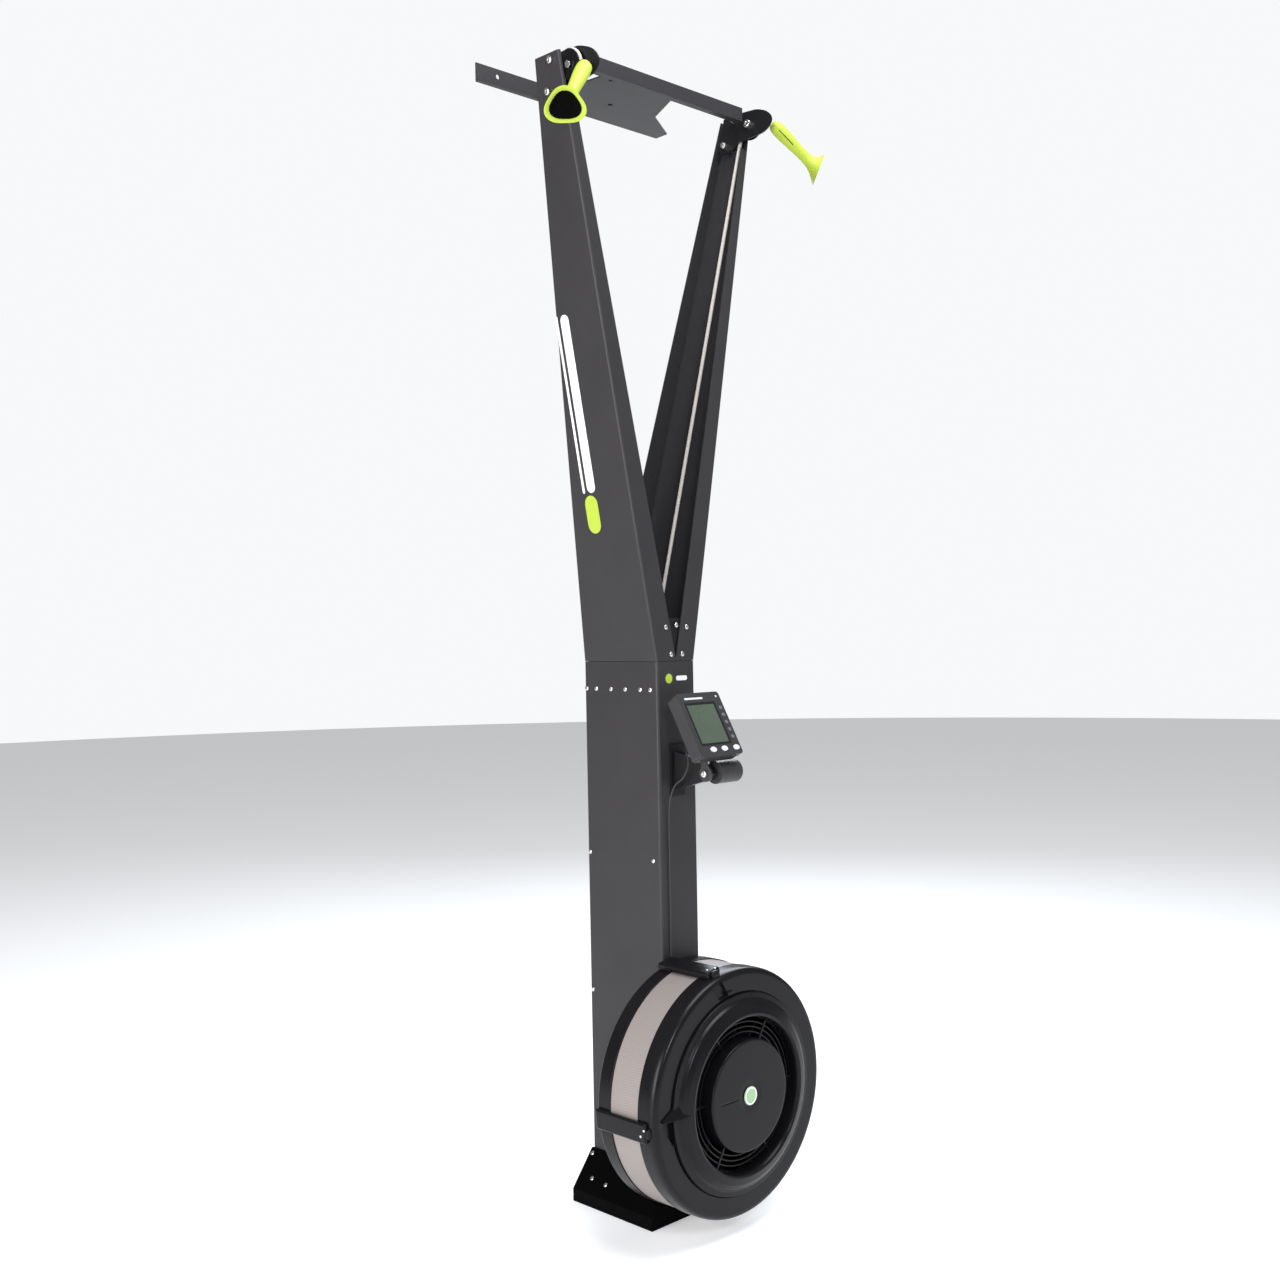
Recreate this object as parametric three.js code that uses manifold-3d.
// Wall-mounted ski-pull air trainer: a floor column that splits into two leaning channel arms,
// with a caged air flywheel low on the front, a tilting display, and a cord-drawn handle at each arm's top.
// Millimetres, +X right, +Y towards the wall, +Z up. The origin is the centre of the foot's underside.
import * as THREE from 'three';
import { mergeVertices } from 'three/addons/utils/BufferGeometryUtils.js';
import Module from 'manifold-3d';

const wasm = await Module();
wasm.setup();

// ---- driving dimensions -------------------------------------------------------------------------
const GAP = 0.3; // air left between touching pieces

const COLUMN = { half: 50, front: -101, back: 100, wall: 2.5, bottom: 22, top: 1040, corner: 6 };
const ARM = {
  bottom: 1040.6, top: 2120, halfTop: 257, sheet: 2, bend: 5,
  frontTop: -91, backTop: -24, innerBottom: 0.4, innerTop: 238, innerStart: 1046,
};
const LEAN = Math.atan((ARM.halfTop - COLUMN.half) / (ARM.top - ARM.bottom)); // arm's lean from vertical
const FOOT = { half: 105, front: -115, lip: 24, top: 90, floor: 20, clearance: 231 };

const FAN = {
  z: 258, radius: 225, back: -105, backRim: -137, bandRear: -137.3, bandFront: -205.7, cover: -206,
};
const GRILLE = { inner: 101, outer: 137, face: -246, depth: 5.5, rings: [110, 119, 128], spokes: 6 };
const DAMPER = { inner: 138.5, outer: 181.3, back: -244 };
const LEVER = { tip: 206, shoulder: 168, root: 150, above: 27, below: 10, back: -247, depth: 15 };
const STANDOFF = {
  half: 19, inner: 225.5,
  posts: [
    { angle: 103, outer: 237, front: -231 }, { angle: 185, outer: 233, front: -231 },
    { angle: 275, outer: 228.5, front: -214 }, { angle: 5, outer: 228.5, front: -214 },
  ],
};
const SHAFT = { radius: 10, front: -236, rear: 62 };
const FLYWHEEL = { blades: 16, radius: 203, ringInner: 160, bladeInner: 62, bladeFront: -198, disc: -150 };
const SENSOR = { x: -30, z: 342 }; // wheel speed pick-up
const BEARING = { inner: 10.3, outer: 22, width: 14, frontY: -100, rearY: 42 };

const DRUM = { groove: 22, flange: 27, bore: 10.6, width: 26, leftY: -57, rightY: -19 };
const CORD = { radius: 3.6, gap: 0.5 };
const GUIDE = { x: 24.1, y: -7, z: 965, groove: 12, flange: 16, width: 15, bore: 4.5 };
const RETURN = {
  x: -27, y: -38, z: 880, groove: 16, flange: 21, width: 12, bore: 4.5, cord: 2.5, line: 19,
};
const PIN = 4; // radius of the plain pins and bolts that pulleys turn on

const HOUSING = { z: 2091, y: -105, depth: 11.6, plateInner: -22, plateOuter: -19 };
const PULLEY = { groove: 20, flange: 26, width: 12, bore: 4.5 };
const CROSSBAR = { half: 229, bottom: 2104.3, top: 2131, sheet: 2.5, lip: 16 };
const BRACKET = { left: -291, right: 178, bottom: 2107.1, sheet: 2.5, top: 2142, wall: 100 };

// Where each handle hangs: the middle of its butt and of its cup's rim. The left one is given mirrored.
const HANDLES = {
  right: { top: new THREE.Vector3(249, -150, 2090), cup: new THREE.Vector3(338, -193, 2005) },
  left: { top: new THREE.Vector3(250, -152, 2078), cup: new THREE.Vector3(334, -190.5, 1975) },
};
const CUP = { normal: new THREE.Vector3(0.66, -0.65, -0.37).normalize(), depth: 8 };

const MONITOR = {
  left: -59, right: 54, height: 129, thick: 27, tilt: 29.3, topY: -155, topZ: 982, split: 12,
};
const PIVOT = { y: -188, z: 835, radius: 21, tubeLeft: 6, tubeRight: 62 };

// ---- materials ----------------------------------------------------------------------------------
function paint(color, roughness, metalness) {
  return new THREE.MeshStandardMaterial({ color, roughness, metalness });
}

const graphitePaint = paint(0x4c4a4c, 0.45, 0.3);
const blackPlastic = paint(0x323032, 0.5, 0.0);
const blackSteel = paint(0x232327, 0.45, 0.4);
const brightSteel = paint(0xc9c9c6, 0.3, 0.9);
const limePlastic = paint(0xc8e13c, 0.45, 0.0);
const creamCord = paint(0xd7cdc8, 0.8, 0.0);
const blackRubber = paint(0x161616, 0.85, 0.0);
const bandMetal = paint(0xb9afac, 0.5, 0.4);
const greyPlastic = paint(0x6b696b, 0.5, 0.0);
const screenGlass = paint(0x627364, 0.2, 0.0);
const buttonGrey = paint(0xc4c4c0, 0.5, 0.0);
const badgeGreen = paint(0x96d282, 0.4, 0.0);

// ---- geometry helpers ---------------------------------------------------------------------------
function clean(geometry) {
  geometry.deleteAttribute('normal');
  geometry.deleteAttribute('uv');
  return mergeVertices(geometry, 1e-4);
}

function solid(geometry) {
  const merged = clean(geometry.clone());
  const vertProperties = new Float32Array(merged.attributes.position.array);
  const triVerts = new Uint32Array(merged.index.array);
  return new wasm.Manifold(new wasm.Mesh({ numProp: 3, vertProperties, triVerts }));
}

function fromSolid(body) {
  const mesh = body.getMesh();
  const geometry = new THREE.BufferGeometry();
  geometry.setAttribute('position', new THREE.BufferAttribute(mesh.vertProperties, 3));
  geometry.setIndex(new THREE.BufferAttribute(mesh.triVerts, 1));
  return geometry;
}

function union(geometries) {
  return fromSolid(geometries.map(solid).reduce((total, body) => total.add(body)));
}

function cut(geometry, tools) {
  return fromSolid(tools.map(solid).reduce((total, tool) => total.subtract(tool), solid(geometry)));
}

function box(x0, x1, y0, y1, z0, z1) {
  const geometry = new THREE.BoxGeometry(x1 - x0, y1 - y0, z1 - z0);
  return geometry.translate((x0 + x1) / 2, (y0 + y1) / 2, (z0 + z1) / 2);
}

// A round bar along X, Y or Z from a0 to a1; its centre is given by the other two coordinates, in order.
function bar(axis, radius, a0, a1, c0, c1, sides = 16) {
  const geometry = new THREE.CylinderGeometry(radius, radius, a1 - a0, sides);
  const middle = (a0 + a1) / 2;
  if (axis === 'x') return geometry.rotateZ(-Math.PI / 2).translate(middle, c0, c1);
  if (axis === 'y') return geometry.translate(c0, middle, c1);
  return geometry.rotateX(Math.PI / 2).translate(c0, c1, middle);
}

// A turned piece about Y through (x, z); the profile runs counterclockwise in (radius, y).
function turned(profile, x, z, segments) {
  const points = profile.map(([radius, y]) => new THREE.Vector2(radius, y));
  return new THREE.LatheGeometry(points, segments).translate(x, 0, z);
}

function closedTurn(profile, x, z, segments) {
  return turned([...profile, profile[0]], x, z, segments);
}

// A closed skin through rings of equal point counts; the first and last rings are capped flat.
function loft(rings, capOutline) {
  const count = rings[0].length;
  const positions = rings.flat().flatMap((p) => [p.x, p.y, p.z]);
  const index = [];
  for (let k = 0; k + 1 < rings.length; k += 1) {
    for (let i = 0; i < count; i += 1) {
      const j = (i + 1) % count;
      const low = k * count;
      const high = low + count;
      index.push(low + i, low + j, high + j, low + i, high + j, high + i);
    }
  }
  const last = (rings.length - 1) * count;
  for (const [a, b, c] of THREE.ShapeUtils.triangulateShape(capOutline, [])) {
    index.push(a, c, b, last + a, last + b, last + c);
  }
  const geometry = new THREE.BufferGeometry();
  geometry.setAttribute('position', new THREE.Float32BufferAttribute(positions, 3));
  geometry.setIndex(index);
  return geometry;
}

function mirrored(geometry) {
  const copy = geometry.clone().scale(-1, 1, 1);
  const index = copy.index.array;
  for (let i = 0; i < index.length; i += 3) [index[i], index[i + 1]] = [index[i + 1], index[i]];
  return copy;
}

// A plate of an outline given in (y, z), from x0 to x1.
function sidePlate(outline, x0, x1) {
  const shape = new THREE.Shape(outline.map(([y, z]) => new THREE.Vector2(y, z)));
  const geometry = new THREE.ExtrudeGeometry(shape, { depth: x1 - x0, bevelEnabled: false });
  const toYZ = new THREE.Matrix4().set(0, 0, 1, x0, 1, 0, 0, 0, 0, 1, 0, 0, 0, 0, 0, 1);
  return geometry.applyMatrix4(toYZ);
}

// A round cord through hand-chosen points, with a ring of its skin at each point.
function cord(route, radius, sides = 8) {
  const points = route.map((p) => new THREE.Vector3(...p));
  const outline = Array.from({ length: sides }, (_, i) => {
    const angle = (2 * Math.PI * i) / sides;
    return new THREE.Vector2(radius * Math.cos(angle), radius * Math.sin(angle));
  });
  const across = new THREE.Vector3(1, 0.2, 0.1);
  const rings = points.map((point, k) => {
    const before = points[Math.max(0, k - 1)];
    const after = points[Math.min(points.length - 1, k + 1)];
    const along = after.clone().sub(before).normalize();
    across.addScaledVector(along, -across.dot(along)).normalize();
    const up = along.clone().cross(across);
    return outline.map((p) => point.clone().addScaledVector(across, p.x).addScaledVector(up, p.y));
  });
  return loft(rings, outline);
}

// A pulley about X at the origin: a waisted rim with a plain bore.
function pulleyBlank(spec, segments = 20) {
  const half = spec.width / 2;
  const waist = half - 1.6;
  const profile = [
    [spec.bore, -half], [spec.flange, -half], [spec.flange, 1.2 - half], [spec.groove, -waist],
    [spec.groove, waist], [spec.flange, half - 1.2], [spec.flange, half], [spec.bore, half],
  ];
  return clean(closedTurn(profile, 0, 0, segments));
}

// ---- scene graph --------------------------------------------------------------------------------
const group = new THREE.Group();

function add(name, geometry, material) {
  const shaped = clean(geometry.clone());
  shaped.computeVertexNormals();
  const mesh = new THREE.Mesh(shaped, material);
  mesh.name = name;
  group.add(mesh);
}

function addPair(name, rightGeometry, material) {
  const merged = clean(rightGeometry.clone());
  add(`right_${name}`, merged, material);
  add(`left_${name}`, mirrored(merged), material);
}

// ---- column and foot ----------------------------------------------------------------------------
function roundedRect(half, front, back, corner) {
  const outline = [];
  const centres = [[half, back, 0], [-half, back, 90], [-half, front, 180], [half, front, 270]];
  for (const [x, y, start] of centres) {
    for (let step = 0; step <= 4; step += 1) {
      const angle = ((start + step * 22.5) * Math.PI) / 180;
      const cx = x - Math.sign(x) * corner;
      const cy = y === back ? back - corner : front + corner;
      outline.push(new THREE.Vector2(cx + corner * Math.cos(angle), cy + corner * Math.sin(angle)));
    }
  }
  return outline;
}

function column() {
  const { half, front, back, wall, bottom, top, corner } = COLUMN;
  const shape = new THREE.Shape(roundedRect(half, front, back, corner));
  shape.holes.push(new THREE.Path(roundedRect(half - wall, front + wall, back - wall, corner - wall)));
  const options = { depth: top - bottom, bevelEnabled: false, curveSegments: 1 };
  const tube = new THREE.ExtrudeGeometry(shape, options).translate(0, 0, bottom);
  return cut(tube, [bar('y', 31.5, front - 5, front + 10, 0, FAN.z, 32)]);
}

function foot() {
  const { half, front, lip, top, floor, clearance } = FOOT;
  const ring = (x, yFront, z) => [
    new THREE.Vector3(-x, yFront, z), new THREE.Vector3(x, yFront, z),
    new THREE.Vector3(x, COLUMN.back, z), new THREE.Vector3(-x, COLUMN.back, z),
  ];
  const collar = 3.5;
  const rings = [
    ring(half, front, 0), ring(half, front, lip), ring(COLUMN.half + collar, COLUMN.front - collar, top),
  ];
  const skirt = loft(rings, rings[0].map((p) => new THREE.Vector2(p.x, p.y)));
  const pocket = box(
    -COLUMN.half - GAP, COLUMN.half + GAP, COLUMN.front - GAP, COLUMN.back + 10, floor, top + 10,
  );
  const cageRecess = bar('y', clearance, -150, COLUMN.front - 2.5, 0, FAN.z, 64);
  return cut(skirt, [pocket, cageRecess]);
}

// ---- arms ---------------------------------------------------------------------------------------
const armShare = (z) => (z - ARM.bottom) / (ARM.top - ARM.bottom);
const armOuter = (z) => COLUMN.half + (ARM.halfTop - COLUMN.half) * armShare(z);

function armRing(z) {
  const t = ARM.sheet;
  const outer = armOuter(z);
  const run = Math.max(0, z - ARM.innerStart) / (ARM.top - ARM.innerStart);
  const inner = ARM.innerBottom + (ARM.innerTop - ARM.innerBottom) * run;
  const front = COLUMN.front + (ARM.frontTop - COLUMN.front) * armShare(z);
  const back = COLUMN.back + (ARM.backTop - COLUMN.back) * armShare(z);
  const outline = [[inner, front + t], [inner, front]];
  const bends = [[outer - ARM.bend, front + ARM.bend, -90], [outer - ARM.bend, back - ARM.bend, 0]];
  for (const [x, y, start] of bends) {
    for (let step = 0; step <= 3; step += 1) {
      const angle = ((start + step * 30) * Math.PI) / 180;
      outline.push([x + ARM.bend * Math.cos(angle), y + ARM.bend * Math.sin(angle)]);
    }
  }
  outline.push([inner, back], [inner, back - t], [outer - t, back - t], [outer - t, front + t]);
  return outline.map(([x, y]) => new THREE.Vector3(x, y, z));
}

// Places a piece drawn in the pulley housing's frame: X out through the arm's web, Z along the arm.
function atHousing(geometry) {
  return geometry.rotateY(LEAN).translate(armOuter(HOUSING.z), 0, HOUSING.z);
}

const BOLTS = [{ name: 'upper_arm_bolt', y: -67, z: 18 }, { name: 'lower_arm_bolt', y: -49, z: -32 }];

function arm() {
  const rings = [armRing(ARM.bottom), armRing(ARM.innerStart), armRing(ARM.top)];
  const channel = loft(rings, rings[0].map((p) => new THREE.Vector2(p.x, p.y)));
  const notch = atHousing(box(-60, -ARM.sheet - 2.6, -100, -80, -45, 60));
  const holes = BOLTS.map(({ y, z }) => atHousing(bar('x', PIN + GAP, -10, 10, y, z)));
  return cut(channel, [notch, ...holes]);
}

function jointSplice() {
  const { half, wall } = COLUMN;
  const sleeve = half - wall - 1.3;
  const front = COLUMN.front + wall + 1.3;
  const tube = cut(
    box(-sleeve, sleeve, front, 89.5, 985, 1100),
    [box(-sleeve + wall, sleeve - wall, front + wall, 89.5 - wall, 980, 1110)],
  );
  const tongue = box(-30, 30, front, front + wall, 1090, 1121);
  return union([tube, tongue]);
}

// ---- pulley housing at an arm's top -------------------------------------------------------------
function pulleyPlate() {
  const outline = [
    [-35, -50], [-35, 29], [-90, 30], [-118, 28], [-135, 23], [-148, 17], [-157, 10], [-163, 2],
    [-165, -6], [-162, -15], [-155, -22], [-144, -27], [-117, -30], [-80, -32], [-68, -45],
  ];
  const plate = sidePlate(outline.reverse(), HOUSING.plateInner, HOUSING.plateOuter);
  const holes = [...BOLTS, { y: HOUSING.y, z: 0 }].map(({ y, z }) => bar('x', PIN + GAP, -30, -10, y, z));
  return atHousing(cut(plate, holes));
}

function pulleyAxle() {
  const { plateInner } = HOUSING;
  const shank = bar('x', PIN, plateInner - 3, -1.5, HOUSING.y, 0);
  const head = bar('x', 8, plateInner - 6, plateInner - GAP, HOUSING.y, 0, 16);
  const collar = bar('x', 7, -3.2, -1, HOUSING.y, 0, 6);
  return atHousing(union([shank, head, collar]));
}

function armBolt({ y, z }) {
  const { plateInner } = HOUSING;
  const shank = bar('x', PIN, plateInner - 12, 3, y, z, 12);
  const head = bar('x', 6.5, GAP, 4, y, z, 12);
  const nut = bar('x', 7, plateInner - 8, plateInner - GAP, y, z, 6);
  return atHousing(union([shank, head, nut]));
}

function topPulley() {
  const blank = pulleyBlank(PULLEY).rotateZ(-Math.PI / 2);
  return atHousing(blank.translate(-HOUSING.depth, HOUSING.y, 0));
}

// ---- crossbar and wall bracket ------------------------------------------------------------------
function crossbar() {
  const { half, bottom, top, sheet, lip } = CROSSBAR;
  const front = ARM.frontTop;
  const strip = box(-half, half, front, front + sheet, bottom, top);
  const ledge = box(-half, half, front, front + lip, bottom, bottom + sheet);
  const topLip = box(-half, half, front, front + 9, top - sheet, top);
  return union([strip, ledge, topLip]);
}

function wallBracket() {
  const { left, right, bottom, sheet, top, wall } = BRACKET;
  const edge = ARM.frontTop + CROSSBAR.sheet + GAP;
  const outline = [
    [left, wall], [left, 91], [-150, 91], [-135, edge], [37, edge], [88, 14], [176, 67], [right, wall],
  ];
  const shape = new THREE.Shape(outline.map(([x, y]) => new THREE.Vector2(x, y)));
  const plate = new THREE.ExtrudeGeometry(shape, { depth: sheet, bevelEnabled: false });
  plate.translate(0, 0, bottom);
  const flange = box(left, right, wall - sheet, wall, bottom, top);
  const screwHoles = [-240, 120].map((x) => bar('y', 4.5, wall - 10, wall + 10, x, 2128));
  const cordHoles = [[-110, -70], [-26, 22]].map(([x, y]) => bar('z', 5, bottom - 5, bottom + 10, x, y));
  return cut(union([plate, flange]), [...screwHoles, ...cordHoles]);
}

// ---- handles ------------------------------------------------------------------------------------
// Half-widths of the moulded handle at shares of its length: a rounded butt, a palm swell, a neck, a cup.
const HANDLE_FORM = [
  [0.0, 6, 5], [0.03, 11, 9.5], [0.1, 14.5, 12], [0.25, 15, 12.5], [0.45, 13, 11.5], [0.62, 11.5, 10.5],
  [0.76, 12, 11.5], [0.86, 16, 15], [0.94, 25, 23], [1.0, 35, 30],
];
const CUP_FORM = [[0, 30, 25.5], [-CUP.depth, 26, 22]]; // lift from the rim's plane, half-widths

function triangularRing(centre, normal, a, b) {
  const across = new THREE.Vector3(0, 0, 1).cross(normal).normalize();
  const up = normal.clone().cross(across);
  return Array.from({ length: 20 }, (_, i) => {
    const angle = (2 * Math.PI * i) / 20;
    const swell = 1 + 0.1 * Math.sin(3 * angle - Math.PI) * Math.min(1, a / 30);
    return centre.clone()
      .addScaledVector(across, a * swell * Math.cos(angle))
      .addScaledVector(up, b * swell * Math.sin(angle));
  });
}

const capCircle = Array.from({ length: 20 }, (_, i) => {
  const angle = (2 * Math.PI * i) / 20;
  return new THREE.Vector2(Math.cos(angle), Math.sin(angle));
});

function handleRing([share, a, b], { top, cup }) {
  const axis = cup.clone().sub(top).normalize();
  const turn = Math.max(0, (share - 0.6) / 0.4);
  return triangularRing(top.clone().lerp(cup, share), axis.lerp(CUP.normal, turn).normalize(), a, b);
}

function cupRing([lift, a, b], { cup }) {
  return triangularRing(cup.clone().addScaledVector(CUP.normal, lift), CUP.normal, a, b);
}

function handle(place) {
  const outside = HANDLE_FORM.map((row) => handleRing(row, place));
  return loft([...outside, ...CUP_FORM.map((row) => cupRing(row, place))], capCircle);
}

function handlePlug(place) {
  const rows = [[0.4 - CUP.depth, 24.5, 20.5], [-1.6, 27.5, 23], [-1.0, 21, 17.5], [-3.4, 12, 10]];
  return loft(rows.map((row) => cupRing(row, place)), capCircle);
}

// ---- cords --------------------------------------------------------------------------------------
const cordLine = PULLEY.groove + CORD.radius + CORD.gap;

// The right side's run over the top pulley, in the housing's frame, from the back tangent to the front.
function topRun(fromDegrees, toDegrees, count) {
  return Array.from({ length: count }, (_, i) => {
    const angle = ((fromDegrees + ((toDegrees - fromDegrees) * i) / (count - 1)) * Math.PI) / 180;
    const local = new THREE.Vector3(
      -HOUSING.depth, HOUSING.y + cordLine * Math.cos(angle), cordLine * Math.sin(angle),
    );
    local.applyAxisAngle(new THREE.Vector3(0, 1, 0), LEAN);
    return [local.x + armOuter(HOUSING.z), local.y, local.z + HOUSING.z];
  });
}

function driveRoute(drumY, drumX) {
  const guideX = GUIDE.x - GUIDE.groove - CORD.radius - 2 * CORD.gap;
  const bendZ = GUIDE.z + 1.5;
  const bend = [[guideX, GUIDE.y, bendZ - 9], [guideX, GUIDE.y, bendZ]];
  return [[drumX, drumY, FAN.z + 6], ...bend, ...topRun(0, 180, 15)];
}

function handleCord({ top }) {
  const start = topRun(191, 191, 2)[0];
  const end = top.clone().add(new THREE.Vector3(-1.6, 3.4, 3));
  const middle = [(start[0] + end.x) / 2, (start[1] + end.y) / 2, (start[2] + end.z) / 2];
  return cord([start, middle, [end.x, end.y, end.z]], CORD.radius);
}

// ---- guide pulleys, drums and the return cord inside the column -----------------------------------
function guidePulley() {
  return pulleyBlank(GUIDE, 20).translate(GUIDE.x, GUIDE.y, GUIDE.z);
}

function guideBracket() {
  const sleeve = COLUMN.half - COLUMN.wall - GAP;
  const reach = 15;
  const plates = [-reach, reach - 3].map((y) => box(
    -sleeve, sleeve, GUIDE.y + y, GUIDE.y + y + 3, GUIDE.z - 18, GUIDE.z + 18,
  ));
  const pins = [-GUIDE.x, GUIDE.x].map((x) => bar('y', PIN, GUIDE.y - reach, GUIDE.y + reach, x, GUIDE.z));
  return union([...plates, ...pins]);
}

function returnIdler() {
  return pulleyBlank(RETURN, 20).rotateZ(-Math.PI / 2).translate(RETURN.x, RETURN.y, RETURN.z);
}

function returnPin() {
  const sleeve = COLUMN.half - COLUMN.wall - GAP;
  const stem = bar('x', PIN, -sleeve, RETURN.x + 12, RETURN.y, RETURN.z);
  const head = bar('x', 7, RETURN.x + 8, RETURN.x + 12, RETURN.y, RETURN.z);
  const flange = bar('x', 12, -sleeve, -sleeve + 4, RETURN.y, RETURN.z);
  return union([stem, head, flange]);
}

function returnCord() {
  const points = [[RETURN.x, DRUM.leftY, FAN.z + 6]];
  for (let angle = 0; angle <= 180; angle += 15) {
    const turn = (angle * Math.PI) / 180;
    const y = RETURN.y - RETURN.line * Math.cos(turn);
    points.push([RETURN.x, y, RETURN.z + RETURN.line * Math.sin(turn)]);
  }
  points.push([RETURN.x, DRUM.rightY, FAN.z + 6]);
  return cord(points, RETURN.cord);
}

function drum(y) {
  return pulleyBlank(DRUM).translate(0, y, FAN.z);
}

// ---- air flywheel -------------------------------------------------------------------------------
const fanTurned = (profile, segments) => clean(closedTurn(profile, 0, FAN.z, segments));

function shaft() {
  return bar('y', SHAFT.radius, SHAFT.front, SHAFT.rear, 0, FAN.z, 20);
}

function flywheel() {
  const { blades, radius, ringInner, bladeInner, bladeFront, disc } = FLYWHEEL;
  const wheel = fanTurned([
    [SHAFT.radius + GAP, -190], [26, -190], [30, disc - 3], [ringInner, disc - 3], [ringInner, disc - 8],
    [radius, disc - 8], [radius, disc], [34, disc], [30, disc + 12], [SHAFT.radius + GAP, disc + 12],
  ], 36);
  const vanes = Array.from({ length: blades }, (_, i) => {
    const vane = box(bladeInner, radius - 1, bladeFront, disc - 1, -1, 1);
    return vane.rotateY((2 * Math.PI * i) / blades).translate(0, 0, FAN.z);
  });
  return union([wheel, ...vanes]);
}

function bearing(y) {
  const { inner, outer, width } = BEARING;
  return fanTurned([[inner, y], [outer, y], [outer, y + width], [inner, y + width]], 20);
}

function flywheelMount() {
  const seat = BEARING.outer + GAP;
  const plate = box(-46, 46, -104.7, COLUMN.front - GAP, FAN.z - 60, FAN.z + 60);
  const boss = bar('y', 30.5, -104, BEARING.frontY + BEARING.width + 1, 0, FAN.z, 32);
  return cut(union([plate, boss]), [bar('y', seat, -110, -80, 0, FAN.z, 32)]);
}

function rearBearingPlate() {
  const sleeve = COLUMN.half - COLUMN.wall - GAP;
  const plate = box(-sleeve, sleeve, BEARING.rearY - 1, BEARING.rearY + 15, FAN.z - 36, FAN.z + 36);
  return cut(plate, [bar('y', BEARING.outer + GAP, 30, 70, 0, FAN.z, 32)]);
}

function cageBack() {
  const shell = fanTurned([
    [33, FAN.back - 3], [FAN.radius - 3.5, FAN.back - 3], [FAN.radius - 3.5, FAN.backRim],
    [FAN.radius, FAN.backRim], [FAN.radius, FAN.back - 2.5], [FAN.radius - 2.5, FAN.back], [33, FAN.back],
  ], 48);
  const { half, inner } = STANDOFF;
  const posts = STANDOFF.posts.map(({ angle, outer, front }) => {
    const rail = box(inner, outer, front, FAN.back - 1, -half, half);
    const root = box(FAN.radius - 2, outer, FAN.backRim + 1, FAN.back - 1, -half, half);
    return union([rail, root]).rotateY((-angle * Math.PI) / 180).translate(0, 0, FAN.z);
  });
  const sensorHole = bar('y', 3.4, FAN.back - 10, FAN.back + 10, SENSOR.x, SENSOR.z, 12);
  return cut(union([shell, ...posts]), [sensorHole]);
}

function cageBand() {
  const outer = FAN.radius - 2;
  const inner = outer - 1.6;
  return fanTurned([
    [inner, FAN.bandFront], [outer, FAN.bandFront], [outer, FAN.bandRear], [inner, FAN.bandRear],
  ], 56);
}

function cageFront() {
  const { inner, outer, face, depth, rings, spokes } = GRILLE;
  const back = face + depth;
  const shell = fanTurned([
    [outer, back], [outer, -243.5], [182, -243.5], [183, face], [213, face], [219.5, -244], [223, -239.5],
    [224.7, -233], [FAN.radius, -226], [FAN.radius, FAN.cover], [FAN.radius - 3, FAN.cover],
    [FAN.radius - 3, -228], [221, -234], [218, -238.5], [212, back],
  ], 56);
  const disc = clean(turned([
    [0, -267], [inner - 3, -267], [inner, -264.5], [inner, back],
    [inner - 3, back], [inner - 3, -264], [0, -264],
  ], 0, FAN.z, 36));
  const hoops = rings.map((radius) => fanTurned([
    [radius - 1.2, face], [radius + 1.2, face], [radius + 1.2, back], [radius - 1.2, back],
  ], 30));
  const arms = Array.from({ length: spokes }, (_, i) => {
    const spoke = box(inner - 2, outer + 0.5, face, back - 0.5, -2, 2);
    return spoke.rotateY((2 * Math.PI * i) / spokes).translate(0, 0, FAN.z);
  });
  return union([shell, disc, ...hoops, ...arms]);
}

function damperRing() {
  const { inner, outer, back } = DAMPER;
  const ring = fanTurned([
    [inner, -258], [142, -265.5], [146, -266.3], [170, -254.5], [outer, -250.5], [outer, back],
    [inner, back],
  ], 56);
  const { tip, shoulder, root, above, below, depth } = LEVER;
  const outline = [
    [-tip, -4], [-shoulder, -below], [-root, -below], [-root, above - 3], [-shoulder, above], [-tip, 0],
  ];
  const shape = new THREE.Shape(outline.map(([x, z]) => new THREE.Vector2(x, z)));
  const lever = new THREE.ExtrudeGeometry(shape, { depth, bevelEnabled: false });
  return union([ring, lever.rotateX(Math.PI / 2).translate(0, LEVER.back, FAN.z)]);
}

function hubBadge() {
  return clean(turned([[0, -269.2], [15, -269.2], [17, -267.3], [0, -267.3]], 0, FAN.z, 24));
}

// ---- display ------------------------------------------------------------------------------------
// The display is drawn in its own frame: X right, Y up its face, Z out of it, origin at its top edge.
const tiltFromVertical = (MONITOR.tilt * Math.PI) / 180;

function atMonitor(geometry) {
  return geometry.rotateX(Math.PI / 2 - tiltFromVertical).translate(0, MONITOR.topY, MONITOR.topZ);
}

function roundedSlab(x0, x1, y0, y1, z0, z1, corner) {
  const outline = [];
  for (const [x, y, start] of [[x1, y1, 0], [x0, y1, 90], [x0, y0, 180], [x1, y0, 270]]) {
    for (let step = 0; step <= 4; step += 1) {
      const angle = ((start + step * 22.5) * Math.PI) / 180;
      const cx = x === x1 ? x1 - corner : x0 + corner;
      const cy = y === y1 ? y1 - corner : y0 + corner;
      outline.push(new THREE.Vector2(cx + corner * Math.cos(angle), cy + corner * Math.sin(angle)));
    }
  }
  const slab = new THREE.ExtrudeGeometry(new THREE.Shape(outline), { depth: z1 - z0, bevelEnabled: false });
  return slab.translate(0, 0, z0);
}

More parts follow.
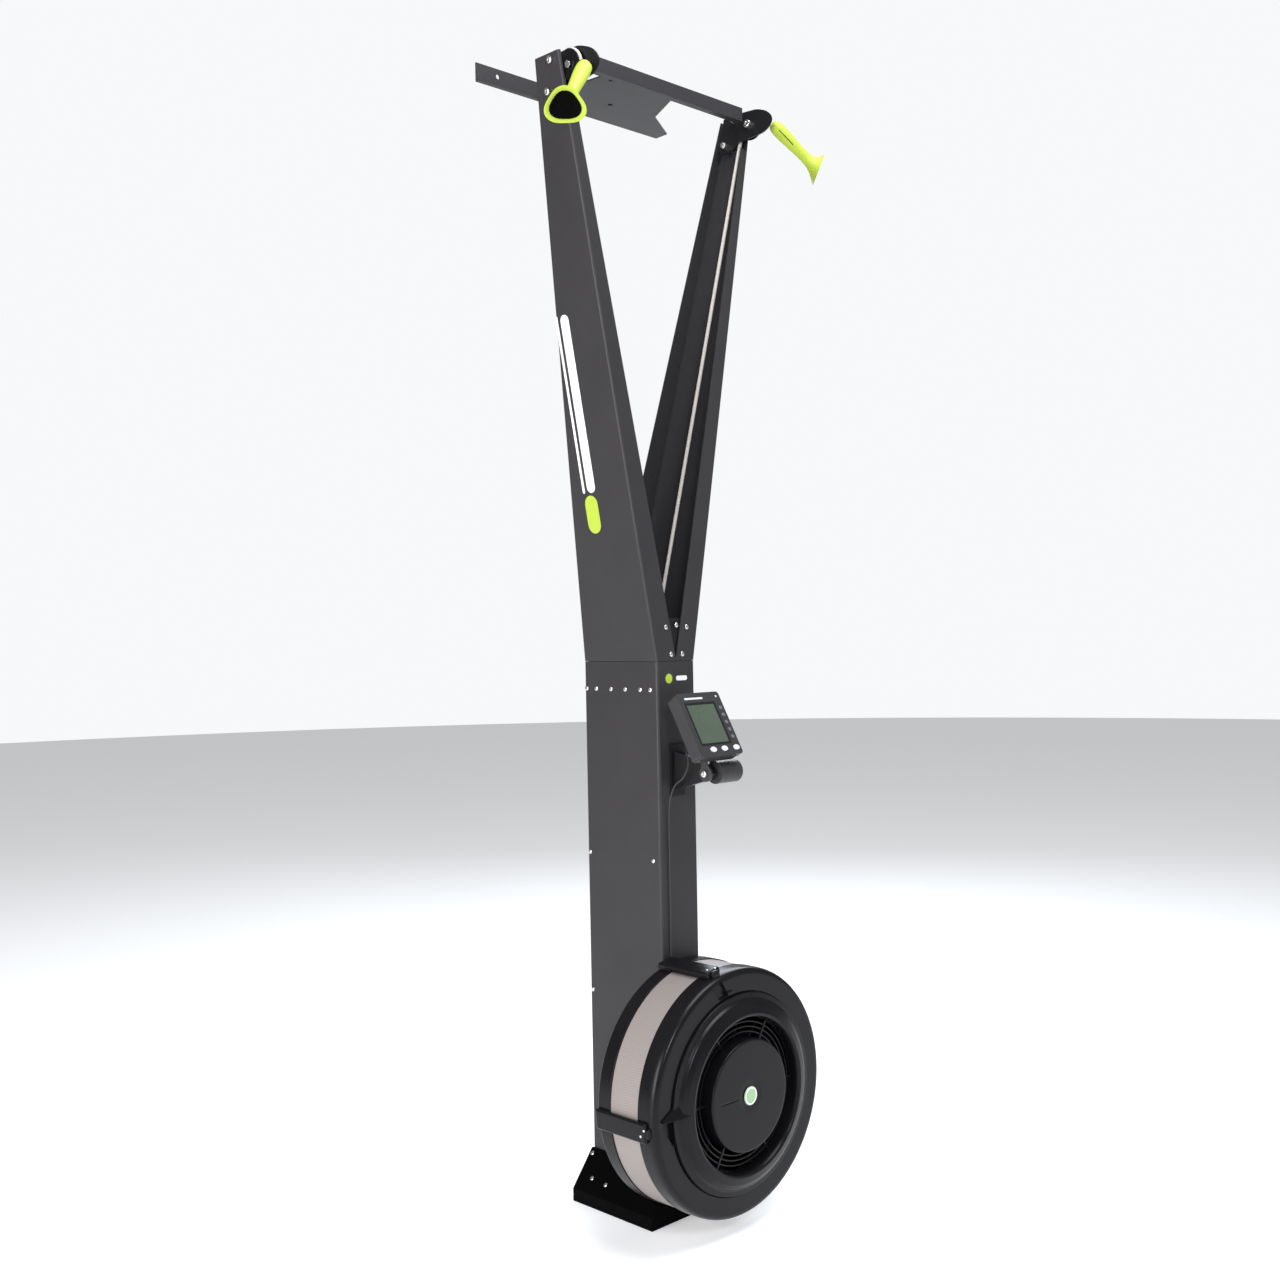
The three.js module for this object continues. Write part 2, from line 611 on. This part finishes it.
const SCREEN = { x0: -43, x1: 30, y0: -103, y1: -24, depth: 3 };
const SIDE_KEYS = [-34, -49, -64, -79, -94].map((y) => ({ x: 43, y, rx: 4, ry: 4 }));
const MENU_KEYS = [-21, 9, 41].map((x) => ({ x, y: -116, rx: 8, ry: 5.2 }));
const KEYS = [
  ...SIDE_KEYS.map((key, i) => ({ ...key, name: `side_button_${i + 1}` })),
  ...MENU_KEYS.map((key, i) => ({ ...key, name: `menu_button_${i + 1}` })),
];

function oval(key, grow, z0, z1) {
  const sides = 16;
  const points = Array.from({ length: sides }, (_, i) => {
    const angle = (2 * Math.PI * i) / sides;
    const x = key.x + (key.rx + grow) * Math.cos(angle);
    const y = key.y + (key.ry + grow) * Math.sin(angle);
    return new THREE.Vector2(x, y);
  });
  const slab = new THREE.ExtrudeGeometry(new THREE.Shape(points), { depth: z1 - z0, bevelEnabled: false });
  return slab.translate(0, 0, z0);
}

function monitorFront() {
  const { left, right, height, split } = MONITOR;
  const shell = roundedSlab(left, right, -height, 0, -split, 0, 6);
  const { x0, x1, y0, y1, depth } = SCREEN;
  const window = box(x0, x1, y0, y1, -depth, 10);
  const wells = KEYS.map((key) => oval(key, 0.4, -3.5, 10));
  return atMonitor(cut(shell, [window, ...wells]));
}

function screen() {
  const { x0, x1, y0, y1, depth } = SCREEN;
  return atMonitor(box(x0 + GAP, x1 - GAP, y0 + GAP, y1 - GAP, GAP - depth, -0.6));
}

function monitorBack() {
  const { left, right, height, thick, split } = MONITOR;
  const body = roundedSlab(left + 1, right - 1, 1 - height, -1, -thick, -split - GAP, 6);
  const ear = (x) => union([
    bar('x', 15, x, x + 4, PIVOT.y, PIVOT.z, 24),
    box(x, x + 4, PIVOT.y - 4, PIVOT.y + 10, PIVOT.z, PIVOT.z + 30),
  ]);
  const batteryTube = bar('x', PIVOT.radius, PIVOT.tubeLeft, PIVOT.tubeRight, PIVOT.y, PIVOT.z, 28);
  const earHole = bar('x', PIN + GAP, -40, PIVOT.tubeLeft + 4, PIVOT.y, PIVOT.z);
  return cut(union([atMonitor(body), ear(-19), ear(3), batteryTube]), [earHole]);
}

function monitorBracket() {
  const plate = box(-22, 14, -104.5, COLUMN.front - GAP, 788, 886);
  const outline = [[-188, 822], [-200, 835], [-188, 848], [-150, 862], [-104, 872], [-104, 800]];
  const reach = sidePlate(outline, -14, 2);
  return cut(union([plate, reach]), [bar('x', PIN + GAP, -40, 10, PIVOT.y, PIVOT.z)]);
}

function pivotBolt() {
  const shank = bar('x', PIN, -22, 6.9, PIVOT.y, PIVOT.z);
  const head = bar('x', 6.5, -23.5, -19 - GAP, PIVOT.y, PIVOT.z, 20);
  return union([shank, head]);
}

function sensorCable() {
  return cord([
    [-30, -103, 346], [-30, -103, 420], [-30, -103.2, 500], [-30, -104, 600], [-30, -104, 700],
    [-30, -106.5, 775], [-28, -118, 808], [-27, -138, 824], [-26, -150, 842], [-25, -152, 858],
    [-24, -146, 872],
  ], 1.5, 6);
}

function wheelSensor() {
  const { x, z } = SENSOR;
  const head = box(x - 8, x + 8, -122, FAN.back - 3 - GAP, z - 10, z + 10);
  return union([head, bar('y', 3, -110, FAN.back + 0.2, x, z, 12)]);
}

// ---- assembly -----------------------------------------------------------------------------------
add('column', column(), graphitePaint);
add('foot', foot(), blackRubber);
addPair('arm', arm(), graphitePaint);
add('joint_splice', jointSplice(), blackSteel);
addPair('pulley_plate', pulleyPlate(), blackSteel);
addPair('pulley_axle', pulleyAxle(), brightSteel);
for (const bolt of BOLTS) addPair(bolt.name, armBolt(bolt), brightSteel);
addPair('top_pulley', topPulley(), blackPlastic);
add('crossbar', crossbar(), graphitePaint);
add('wall_bracket', wallBracket(), graphitePaint);

for (const [name, shape, finish] of [
  ['handle', handle, limePlastic],
  ['handle_plug', handlePlug, blackRubber],
  ['handle_cord', handleCord, creamCord],
]) {
  add(`right_${name}`, shape(HANDLES.right), finish);
  add(`left_${name}`, mirrored(shape(HANDLES.left)), finish);
}

const drumLine = DRUM.groove + CORD.radius + CORD.gap;
add('right_drive_cord', cord(driveRoute(DRUM.rightY, drumLine), CORD.radius), creamCord);
add('left_drive_cord', mirrored(cord(driveRoute(DRUM.leftY, -drumLine), CORD.radius)), creamCord);
addPair('guide_pulley', guidePulley(), blackPlastic);
add('guide_bracket', guideBracket(), blackSteel);
add('right_cord_drum', drum(DRUM.rightY), greyPlastic);
add('left_cord_drum', drum(DRUM.leftY), greyPlastic);
add('return_cord', returnCord(), blackRubber);
add('return_idler', returnIdler(), blackPlastic);
add('return_idler_pin', returnPin(), brightSteel);

add('flywheel_shaft', shaft(), brightSteel);
add('flywheel', flywheel(), greyPlastic);
add('front_bearing', bearing(BEARING.frontY), brightSteel);
add('rear_bearing', bearing(BEARING.rearY), brightSteel);
add('flywheel_mount', flywheelMount(), blackSteel);
add('rear_bearing_plate', rearBearingPlate(), blackSteel);
add('cage_back', cageBack(), blackPlastic);
add('cage_band', cageBand(), bandMetal);
add('cage_front', cageFront(), blackPlastic);
add('damper_ring', damperRing(), blackPlastic);
add('hub_badge', hubBadge(), badgeGreen);

add('monitor_front', monitorFront(), greyPlastic);
add('monitor_back', monitorBack(), greyPlastic);
add('screen', screen(), screenGlass);
for (const key of KEYS) add(key.name, atMonitor(oval(key, 0, -2, 1.6)), buttonGrey);
add('monitor_bracket', monitorBracket(), blackSteel);
add('monitor_pivot_bolt', pivotBolt(), brightSteel);
add('sensor_cable', sensorCable(), greyPlastic);
add('wheel_sensor', wheelSensor(), blackPlastic);

export default group;
